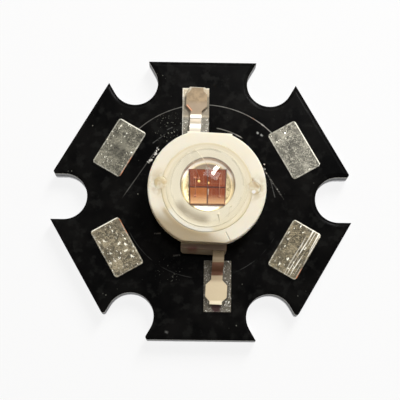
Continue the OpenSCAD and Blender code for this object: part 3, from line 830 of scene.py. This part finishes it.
@dataclass(frozen=True)
class ClearLens:
    """Clear moulded resin. The gel under it has nearly its index, so the inner wall doesn't bend light."""

    centre: Triple
    inner_r: float
    outer_r: float
    seat_z: float
    near_share: float = 1.0
    far_share: float = 0.08
    frosted: float = 0.85
    rim_r: float = 2.97

    def make(self) -> Material:
        """Builds the material. The side away from the window shades what lies behind the dome.

        Returns:
            The material.
        """
        s = Shader("clear_lens")
        axis = self.centre[:2]
        cloud, reach = s.noise(1.3, 0), s.reach(*axis)
        x, y, z = (place - middle for place, middle in zip((s.x, s.y, s.z), self.centre))
        out = (x ** 2.0 + y ** 2.0 + z ** 2.0) ** 0.5
        matched = out.under(self.inner_r, 0.02).either(s.z.under(self.seat_z, 0.02))
        facing = x * WINDOW_WAY[0] + y * WINDOW_WAY[1] + z * WINDOW_WAY[2]
        open_side = facing.over(0.0, 0.6).either(z.under(0.8, 0.25))
        share = self.far_share + open_side * (self.near_share - self.far_share)
        passed = (s.ray("Shadow") * share).either(s.ray("Diffuse"))
        glass = s.surface(
            Base_Color=s.mix(cloud, (0.992, 0.99, 0.965), (0.985, 0.982, 0.945)),
            Roughness=0.0,
            IOR=1.5,
            Transmission_Weight=1.0,
            Normal=s.bump(cloud, 0.004),
        )
        rim = reach.over(self.rim_r, 0.12) * (0.5 + cloud * 0.7)
        s.base = s.mix(rim, (0.92, 0.82, 0.61), (0.85, 0.73, 0.48))
        # Painted light: a bright crescent on the flange where the dome gathers the window's light.
        s.coat(s.crescent(axis, 3.0, 0.35, -115), (1.0, 0.98, 0.92))
        frost = s.surface(Roughness=0.5)
        foot = s.blend(reach.over(self.outer_r - 0.02, 0.01) * self.frosted, glass, frost)
        through = s.node("ShaderNodeBsdfTransparent", {}, {0: (0.99, 0.985, 0.96)})
        return s.done(s.blend(matched.either(passed), foot, through))


@dataclass(frozen=True)
class ClearGel:
    """Clear silicone under the lens, which has nearly the lens's index and so doesn't show."""

    index: float = 1.41
    hidden_z: float = -1.0

    def make(self) -> Material:
        """Builds the material.

        Returns:
            The material.
        """
        s = Shader("clear_gel")
        s.base = s.mix(s.noise(0.3, 3), (0.98, 0.97, 0.93), (0.96, 0.95, 0.9))
        glass = s.surface(Roughness=0.05, IOR=self.index, Transmission_Weight=1.0)
        hidden = s.z.over(self.hidden_z, 0.1)
        return s.done(s.blend(hidden, glass, s.node("ShaderNodeBsdfTransparent")))


@dataclass(frozen=True)
class StainedGel:
    """Silicone that stands open in a filling hole: cloudy, stained golden brown, with a wet skin and a
    painted highlight spot.
    """

    highlight_spot: Point = (3.54, -0.08)

    def make(self) -> Material:
        """Builds the material.

        Returns:
            The material.
        """
        s = Shader("stained_gel")
        cloud, fine = s.noise(0.45, 4), s.noise(0.12, 3)
        s.base = s.mix(cloud.over(0.5, 0.3), (0.86, 0.79, 0.62), (0.66, 0.53, 0.3))
        s.streak(cloud)
        # Painted highlight on the gel's wet crown.
        s.coat(s.reach(*self.highlight_spot).under(0.13, 0.08), (0.97, 0.96, 0.92))
        return s.paint(
            Roughness=0.3 + fine * 0.2,
            Subsurface_Weight=0.4,
            Subsurface_Radius=SOFT_RADIUS,
            Subsurface_Scale=0.3 * MM,
            Normal=s.bump(cloud, 0.05),
        )


def clear_selection() -> None:
    """Leaves edit mode and deselects everything."""
    if bpy.context.object and bpy.context.object.mode != "OBJECT":
        bpy.ops.object.mode_set(mode="OBJECT")
    bpy.ops.object.select_all(action="DESELECT")


def take(*pieces: Object) -> None:
    """Selects pieces and nothing else.

    Args:
        pieces: the pieces. The first becomes the active one.
    """
    clear_selection()
    for piece in pieces:
        piece.select_set(True)
    bpy.context.view_layer.objects.active = pieces[0]


def select_where(piece: Object, test: Callable[[Vector], bool]) -> None:
    """Selects vertices of a piece in edit mode by their place.

    Args:
        piece: the piece that is being edited.
        test: says whether a vertex at a place is wanted.
    """
    bpy.ops.mesh.select_all(action="DESELECT")
    mesh = bmesh.from_edit_mesh(piece.data)
    for vertex in mesh.verts:
        vertex.select_set(test(vertex.co))
    mesh.select_flush_mode()
    bmesh.update_edit_mesh(piece.data)


def start_circle(name: str, corners: int, radius: float, at: Triple) -> Object:
    """Starts a piece as a circle in edit mode.

    Args:
        name: the piece's name.
        corners: how many corners the circle has.
        radius: its radius, in metres.
        at: its middle, in metres.

    Returns:
        The piece.
    """
    clear_selection()
    bpy.ops.mesh.primitive_circle_add(vertices=corners, radius=radius, location=at)
    piece = bpy.context.object
    piece.name = piece.data.name = name
    bpy.ops.object.transform_apply(location=True, rotation=False, scale=False)
    bpy.ops.object.mode_set(mode="EDIT")
    return piece


def extrude_up(rise: float) -> None:
    """Extrudes what is selected upward by a rise in millimetres."""
    bpy.ops.mesh.extrude_region_move(TRANSFORM_OT_translate={"value": (0, 0, rise * MM)})


def close_edit() -> None:
    """Turns the faces of the piece in edit mode outward and leaves edit mode."""
    bpy.ops.mesh.select_all(action="SELECT")
    bpy.ops.mesh.normals_make_consistent(inside=False)
    bpy.ops.object.mode_set(mode="OBJECT")


def turn_profile(name: str, profile: Sequence[Point], centre: Vector, steps: int) -> Object:
    """Makes a closed round body from a profile, ring by ring.

    Args:
        name: the piece's name.
        profile: radius and height of each ring in millimetres. The first and last lie on the axis.
        centre: the axis, in metres.
        steps: how many sides a ring has.

    Returns:
        The piece.
    """
    rings = profile[1:-1]
    radius, height = rings[0]
    piece = start_circle(name, steps, radius * MM, (centre.x, centre.y, height * MM))
    bpy.ops.mesh.select_mode(type="VERT")
    bpy.ops.mesh.select_all(action="SELECT")
    extrude_up(profile[0][1] - height)
    bpy.ops.mesh.merge(type="CENTER")
    select_where(piece, lambda co: (co.xy - centre.xy).length > radius * MM * 0.5)
    for last, ring in zip(rings, rings[1:]):
        share = ring[0] / last[0]
        extrude_up(ring[1] - last[1])
        bpy.ops.transform.resize(value=(share, share, 1), center_override=(centre.x, centre.y, 0))
    extrude_up(profile[-1][1] - rings[-1][1])
    bpy.ops.mesh.merge(type="CENTER")
    close_edit()
    return piece


def turn_ring(name: str, section: Sequence[Point], centre: Vector, steps: int) -> Object:
    """Makes a closed ring by turning a section about an axis that it doesn't touch.

    Args:
        name: the piece's name.
        section: radius and height of each corner in millimetres, all round the section.
        centre: the axis, in metres.
        steps: how many copies of the section the ring has.

    Returns:
        The piece.
    """
    piece = start_circle(name, len(section), MM, (centre.x, centre.y, 0))
    mesh = bmesh.from_edit_mesh(piece.data)
    for vertex, (r, z) in zip(mesh.verts, section):
        vertex.co = (centre.x + r * MM, centre.y, z * MM)
    bmesh.update_edit_mesh(piece.data)
    bpy.ops.mesh.select_all(action="SELECT")
    bpy.ops.mesh.spin(steps=steps, angle=math.tau, center=(centre.x, centre.y, 0), axis=(0, 0, 1))
    bpy.ops.mesh.select_all(action="SELECT")
    bpy.ops.mesh.remove_doubles(threshold=0.000001)
    close_edit()
    return piece


class Fit(Enum):
    """How a part of the object is dressed."""

    CAD = "carried-over node"
    MADE = "piece made here"


def report(name: str, fit: Fit) -> None:
    """Logs one piece."""
    LOG.info("%s: %s", name, fit.value)


def dress(material: Material, *nodes: str) -> None:
    """Gives CAD nodes their material.

    Args:
        material: the material.
        nodes: the names of the nodes that wear it.
    """
    for node in nodes:
        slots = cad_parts[node].data.materials
        if not len(slots):
            slots.append(material)
        for i in range(len(slots)):
            slots[i] = material
        report(node, Fit.CAD)


def keep(piece: Object, smooth: float, material: Material) -> None:
    """Finishes a new piece: its place, shading, material and the body that it rides on.

    Args:
        piece: the piece.
        smooth: the angle, in degrees, up to which its faces are shaded smooth.
        material: its material.
    """
    take(piece)
    bpy.ops.object.transform_apply(location=True, rotation=True, scale=True)
    bpy.ops.object.shade_smooth_by_angle(angle=math.radians(smooth))
    piece.data.materials.clear()
    piece.data.materials.append(material)
    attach(piece, "root")
    report(piece.name, Fit.MADE)


@dataclass
class StarBoard:
    """The punched board with its layers and the tinning on its lands."""

    lands: tuple[TinnedLand, ...] = (
        TinnedLand("upper_left", 150, 1.0, (0.25, 0.235, 0.18), 0.4, smooth=True, copper=(-1.0, 0.0, 1.9)),
        TinnedLand("upper_right", 30, 2.0, (0.39, 0.37, 0.3), 0.2, lit=(0, 1.0)),
        TinnedLand("lower_left", 210, 3.0, (0.33, 0.28, 0.185), 1.0, copper=(-1.0, -1.9, -0.4)),
        TinnedLand(
            "lower_right", -30, 4.0, (0.31, 0.26, 0.165), 0.5, True, lit=(1, 1.0), copper=(1.0, -1.9, -0.9)
        ),
    )

    def build(self) -> None:
        """Dresses the board's nodes."""
        dress(CoreMetal().make(), "core_plate")
        dress(RESIN_LAYER.make(), "dielectric_layer")
        dress(COPPER_FOIL.make(), "upper_electrode", "lower_electrode", "thermal_land")
        dress(BlackMask().make(), "solder_mask")
        for land in self.lands:
            dress(land.make(), f"wire_tin_{land.name}")
        dress(LeadSolder().make(), "upper_lead_joint", "lower_lead_joint", "slug_joint")


@dataclass
class Package:
    """The moulding with its leads, slug, dice and wires."""

    dice: tuple[RedDie, ...] = (
        RedDie("upper_left", (-1, 1), contact=(0.02, -0.13, 0.055)),
        RedDie("lower_left", (-1, -1), (0.44, 0.13, 0.02), 0.85),
        RedDie("upper_right", (1, 1), contact=(-0.34, -0.2, 0.045)),
        RedDie("lower_right", (1, -1), glow_share=0.7, glint=((-0.345, 0.3), (-0.36, 0.04))),
    )
    ragged: float = 0.28
    first_turn: float = 35
    turn_step: float = 40
    # Place and radius of each shaving.
    debris: tuple[tuple[float, float, float, float], ...] = (
        (-3.72, 2.02, 3.7, 0.09),
        (-3.62, 2.1, 3.8, 0.1),
        (-3.5, 2.14, 3.85, 0.09),
        (-3.36, 2.34, 3.9, 0.05),
        (-3.28, 2.52, 3.85, 0.08),
        (-3.2, 2.62, 3.8, 0.1),
        (-3.16, 2.8, 3.75, 0.07),
        (-3.03, 2.93, 3.7, 0.06),
        (-3.12, 3.02, 3.75, 0.05),
        (4.3, 1.95, 3.85, 0.06),
        (4.34, 1.62, 3.8, 0.045),
    )

    def build(self) -> None:
        """Dresses the package's nodes and adds the shavings at the ring."""
        dress(CreamMoulding().make(), "package_body")
        cut, film = ((-1.11, 6.68), (-0.74, 6.24)), (5.96, (0.4, 0.29, 0.17))
        dress(LeadPlating("upper_lead_plating", cut=cut, film=film).make(), "upper_lead")
        lower = LeadPlating("lower_lead_plating", (0.47, 0.385, 0.255), bare=(-5.56, -4.78))
        dress(lower.make(), "lower_lead")
        dress(SlugPlating().make(), "heat_slug")
        dress(DIE_ADHESIVE.make(), "die_attach")
        for die in self.dice:
            dress(die.make(), f"die_{die.name}")
        wires = [f"{run}_wire_{side}" for run in ("lead", "chain") for side in ("left", "right")]
        dress(GoldWire().make(), *wires, "slug_wire_inner", "slug_wire_outer")
        self.shavings()

    def shavings(self) -> None:
        """Makes the shavings that hang on the ring's edge."""
        bits = []
        for i, (x, y, z, size) in enumerate(self.debris):
            at = (x * MM, y * MM, z * MM)
            clear_selection()
            bpy.ops.mesh.primitive_ico_sphere_add(subdivisions=3, radius=size * MM, location=at)
            bits.append(bpy.context.object)
            bpy.ops.object.mode_set(mode="EDIT")
            bpy.ops.mesh.select_all(action="SELECT")
            bpy.ops.transform.resize(value=(1.0, 0.5 + 0.1 * (i % 3), 0.6))
            bpy.ops.transform.vertex_random(offset=size * self.ragged * MM, seed=i)
            turn = math.radians(self.first_turn + self.turn_step * i)
            bpy.ops.transform.rotate(value=turn, orient_axis="Z", center_override=at)
            bpy.ops.object.mode_set(mode="OBJECT")
        take(*bits)
        bpy.ops.object.join()
        piece = bpy.context.object
        piece.name = piece.data.name = "ring_shavings"
        keep(piece, 60, SHAVINGS.make())


@dataclass
class Optics:
    """The dome lens and the gel under it, in millimetres."""

    outer_r: float = 2.8
    inner_r: float = 2.35
    flange_r: float = 3.124
    flange_t: float = 0.5
    lift: float = 0.3
    lens_gap: float = 0.012
    gel_gap: float = 0.025
    well_r: float = 2.75
    shelf_drop: float = 0.7
    post_r: float = 1.704
    slug_off: Point = (0.026, 0.139)
    post_rise: float = 0.1
    lip: float = 0.06
    crown: float = 0.02
    crown_rise: float = 0.4
    turn: float = -2.5
    hole_r: float = 0.46
    holes: Line = ((-3.18, 0.14), (3.22, 0.14))
    flange_foot: float = 0.04
    flange_bevel: float = 0.05
    crown_angles: tuple[float, ...] = (0.15, 0.5, 0.8, 1.1, 1.35)
    arc_steps: int = 40
    gel_steps: int = 96
    lens_steps: int = 160
    hole_steps: int = 64
    crown_steps: int = 32

    def __post_init__(self) -> None:
        """Reads the axis, in metres, and the level of the lens's underside from its solid."""
        low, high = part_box("dome_lens")
        self.centre = (Vector(low) + Vector(high)) / 2
        self.low = low[2]
        self.seat = self.low / MM

    def profile(self) -> list[Point]:
        """Draws the lens's section, from the cavity's top round to the dome's top.

        Returns:
            Radius and height of each corner.
        """
        arc = [math.pi / 2 * i / self.arc_steps for i in range(self.arc_steps + 1)]
        level, top, foot = self.seat + self.lift, self.seat + self.flange_t, self.seat + self.lens_gap
        start = math.asin((self.flange_t - self.lift) / self.outer_r)
        inner = [(self.inner_r * math.sin(a), level + self.inner_r * math.cos(a)) for a in arc]
        outer = [(self.outer_r * math.cos(a), level + self.outer_r * math.sin(a)) for a in arc]
        return [
            (0.0, inner[0][1]),
            *inner[1:],
            (self.inner_r, foot),
            (self.flange_r - self.flange_foot, foot),
            (self.flange_r, foot + self.flange_foot),
            (self.flange_r, top - self.flange_bevel),
            (self.flange_r - self.flange_bevel, top),
            (self.outer_r * math.cos(start), top),
            *[p for a, p in zip(arc, outer) if a > start + 0.01 and p[0] > 0.01],
            (0.0, level + self.outer_r),
        ]

    def gel_profile(self) -> list[Point]:
        """Draws the clear gel's section under the dome, just clear of what holds it.

        Returns:
            Radius and height of each corner.
        """
        steps = self.arc_steps // 2
        r, level = self.inner_r - self.gel_gap, self.seat + self.lift
        arc = [math.pi / 2 * i / steps for i in range(steps)]
        foot = self.seat + self.post_rise + self.gel_gap
        start = math.asin((foot - level) / r)
        rounds = [(r * math.cos(a), level + r * math.sin(a)) for a in arc if a > start + 0.02]
        return [(0.0, foot), (r * math.cos(start), foot), *rounds, (0.0, level + r)]

    def collar_profile(self) -> list[Point]:
        """Draws the half section of the milky gel in the well, from its inner foot to its inner top.

        Returns:
            Radius and height of each corner.
        """
        room = self.lens_gap / 2
        well, bore = self.well_r - room, self.inner_r - room
        shelf, top = self.seat - self.shelf_drop + self.gel_gap, self.seat + self.post_rise
        return [
            (self.post_r, shelf),
            (well, shelf),
            (well, self.seat + room),
            (bore, self.seat + room),
            (bore, top - 0.02),
            (bore - 0.02, top + 2 * room),
            (self.post_r - self.lip, top + 2 * room),
            (self.post_r - self.lip, top + room),
            (self.post_r, top + room),
        ]

    def crown_profile(self) -> list[Point]:
        """Draws the section of the gel in one filling hole, with its low crown.

        Returns:
            Radius and height of each corner.
        """
        top, r = self.seat + self.crown_rise, self.hole_r - 0.005
        foot = top - self.crown_rise
        rounds = [(r * math.cos(a), top + self.crown * math.sin(a)) for a in self.crown_angles]
        return [(0.0, foot), (r, foot), (r, top - 0.01), *rounds, (0.0, top + self.crown)]

    def gel(self, holes: Sequence[Vector]) -> None:
        """Makes the gel with the two crowns that it stands in its filling holes with.

        Args:
            holes: the axes of the filling holes, in metres.
        """
        body = turn_profile("silicone_gel", self.gel_profile(), self.centre, self.gel_steps)
        keep(body, 35, ClearGel().make())
        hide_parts("silicone_fill")
        collar = turn_ring("milky_gel", self.collar_profile(), self.centre, self.gel_steps)
        take(collar)
        bpy.ops.object.mode_set(mode="EDIT")
        bound = (self.post_r + 0.005) * MM
        select_where(collar, lambda co: (co.xy - self.centre.xy).length < bound)
        bpy.ops.transform.translate(value=(self.slug_off[0] * MM, self.slug_off[1] * MM, 0))
        bpy.ops.object.mode_set(mode="OBJECT")
        keep(collar, 35, MILKY_GEL.make())
        stained = StainedGel().make()
        for side, hole in zip(("left", "right"), holes):
            crown = turn_profile(f"gel_crown_{side}", self.crown_profile(), hole, self.crown_steps)
            keep(crown, 50, stained)

    def build(self) -> None:
        """Makes the lens and the gel."""
        lens = turn_profile("clear_dome", self.profile(), self.centre, self.lens_steps)
        turn = Matrix.Rotation(math.radians(self.turn), 3, "Z")
        holes = [self.centre + turn @ Vector((*hole, 0)) * MM for hole in self.holes]
        for at in holes:
            clear_selection()
            place = (at.x, at.y, self.low)
            bpy.ops.mesh.primitive_cylinder_add(
                vertices=self.hole_steps, radius=self.hole_r * MM, depth=2 * MM, location=place
            )
            cutter = bpy.context.object
            notch = lens.modifiers.new("notch", "BOOLEAN")
            notch.operation, notch.object = "DIFFERENCE", cutter
            take(lens)
            bpy.ops.object.modifier_apply(modifier=notch.name)
            bpy.data.objects.remove(cutter)
        centre_mm = (self.centre.x / MM, self.centre.y / MM, self.seat + self.lift)
        between = (self.inner_r + self.outer_r) / 2
        finish = ClearLens(centre_mm, between, self.outer_r, self.seat + self.lens_gap + 0.01)
        keep(lens, 25, finish.make())
        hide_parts("dome_lens")
        self.gel(holes)


def set_up(name: str, data: Any, eye: Vector, axes: Sequence[Any]) -> Object:
    """Adds a camera or a lamp to the scene.

    Args:
        name: its name.
        data: its settings.
        eye: where it stands, in metres.
        axes: its three axes. It looks against the third.

    Returns:
        Its object.
    """
    made = bpy.data.objects.new(name, data)
    made.matrix_world = Matrix.Translation(eye) @ Matrix(axes).transposed().to_4x4()
    bpy.context.scene.collection.objects.link(made)
    return made


@dataclass(frozen=True)
class Lamp:
    """One soft lamp, with its direction from the object, its lengths in metres and its power in watts."""

    name: str
    way: Triple
    distance: float
    size: Point
    power: float
    colour: RGB = (1.0, 0.93, 0.82)

    def hang(self) -> None:
        """Adds the lamp, turned towards the object."""
        data = bpy.data.lights.new(self.name, "AREA")
        data.shape, data.size, data.size_y = "RECTANGLE", *self.size
        data.energy, data.color = self.power, self.colour
        z = Vector(self.way).normalized()
        x = Vector((0, 0, 1)).cross(z).normalized()
        set_up(self.name, data, z * self.distance, (x, z.cross(x), z))


@dataclass
class Studio:
    """The camera, in millimetres and pixels, the lamps, the world and the floor, in metres."""

    eye: Triple = (-1.131, -16.634, 83.688)
    right: Triple = (0.99982, 0.01155, 0.01502)
    up: Triple = (-0.01427, 0.98041, 0.19643)
    back: Triple = (-0.01246, -0.19661, 0.9804)
    focal_px: float = 1188.0
    frame_px: float = 400.0
    sensor: float = 36.0
    floor_r: float = 1.5
    floor_z: float = -0.00002
    floor_light: float = 0.85
    lamps: tuple[Lamp, ...] = (
        Lamp("window", WINDOW_WAY, 0.2, (0.035, 0.115), 0.27, (1, 1, 1)),
        Lamp("sky", (0.2, 0.46, 0.865), 0.2, (0.14, 0.09), 0.13, (1, 1, 1)),
        Lamp("left_fill", (-0.75, 0.35, 0.55), 0.3, (0.25, 0.2), 0.08),
        Lamp("right_fill", (0.8, 0.35, 0.5), 0.3, (0.2, 0.2), 0.08),
        Lamp("front_fill", (0.1, -0.7, 0.72), 0.3, (0.2, 0.1), 0.02, (1.0, 0.93, 0.84)),
    )

    def camera(self) -> None:
        """Sets the camera of the photograph."""
        data = bpy.data.cameras.new("camera")
        data.sensor_width = self.sensor
        data.lens = self.focal_px / self.frame_px * self.sensor
        data.clip_start, data.clip_end = 0.001, 20.0
        axes = (self.right, self.up, self.back)
        bpy.context.scene.camera = set_up("camera", data, Vector(self.eye) * MM, axes)

    def world(self) -> None:
        """White behind the object, and a soft room light that is darker overhead."""
        made = bpy.data.worlds.new("room")
        bpy.context.scene.world = made
        made.use_nodes = True
        n = Nodes(made.node_tree)
        place = n.node("ShaderNodeTexCoord", out="Generated")
        height = n.node("ShaderNodeSeparateXYZ", {}, {0: place}, out=2)
        light = n.ramp(height, (0.25, (0.13, 0.118, 0.1)), (0.93, (0.05, 0.05, 0.05)))
        room, white = (n.node("ShaderNodeBackground", {}, {0: colour}) for colour in (light, (1, 1, 1)))
        n.finish("ShaderNodeOutputWorld", n.blend(n.ray("Camera", "Glossy", "Transmission"), room, white))

    def floor(self) -> None:
        """A white floor that keeps the object's shadow."""
        clear_selection()
        at = (0, 0, self.floor_z)
        bpy.ops.mesh.primitive_circle_add(vertices=96, radius=self.floor_r, fill_type="NGON", location=at)
        plane = bpy.context.object
        plane.name = "floor"
        s = Shader("floor")
        matte = s.surface(Base_Color=(0.86, 0.86, 0.86), Roughness=1.0, Specular_IOR_Level=0.0)
        white = s.node("ShaderNodeEmission", {}, {"Color": (1, 1, 1), "Strength": 1.0})
        seen = s.ray("Camera", "Glossy", "Transmission") * self.floor_light
        plane.data.materials.append(s.done(s.blend(seen, matte, white)))

    def build(self) -> None:
        """Sets up everything round the object."""
        self.camera()
        self.world()
        self.floor()
        for lamp in self.lamps:
            lamp.hang()
        bpy.context.scene.view_settings.view_transform = "Standard"


def corners(box: Iterable[Vector]) -> list[list[float]]:
    """A box's corners as plain lists."""
    return [list(map(float, corner)) for corner in box]


def main() -> None:
    """Builds the scene in order."""
    logging.basicConfig(level=logging.INFO, format="%(name)s: %(message)s")
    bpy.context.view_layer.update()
    Studio().build()
    StarBoard().build()
    Package().build()
    Optics().build()


if __name__ == "__main__":
    main()
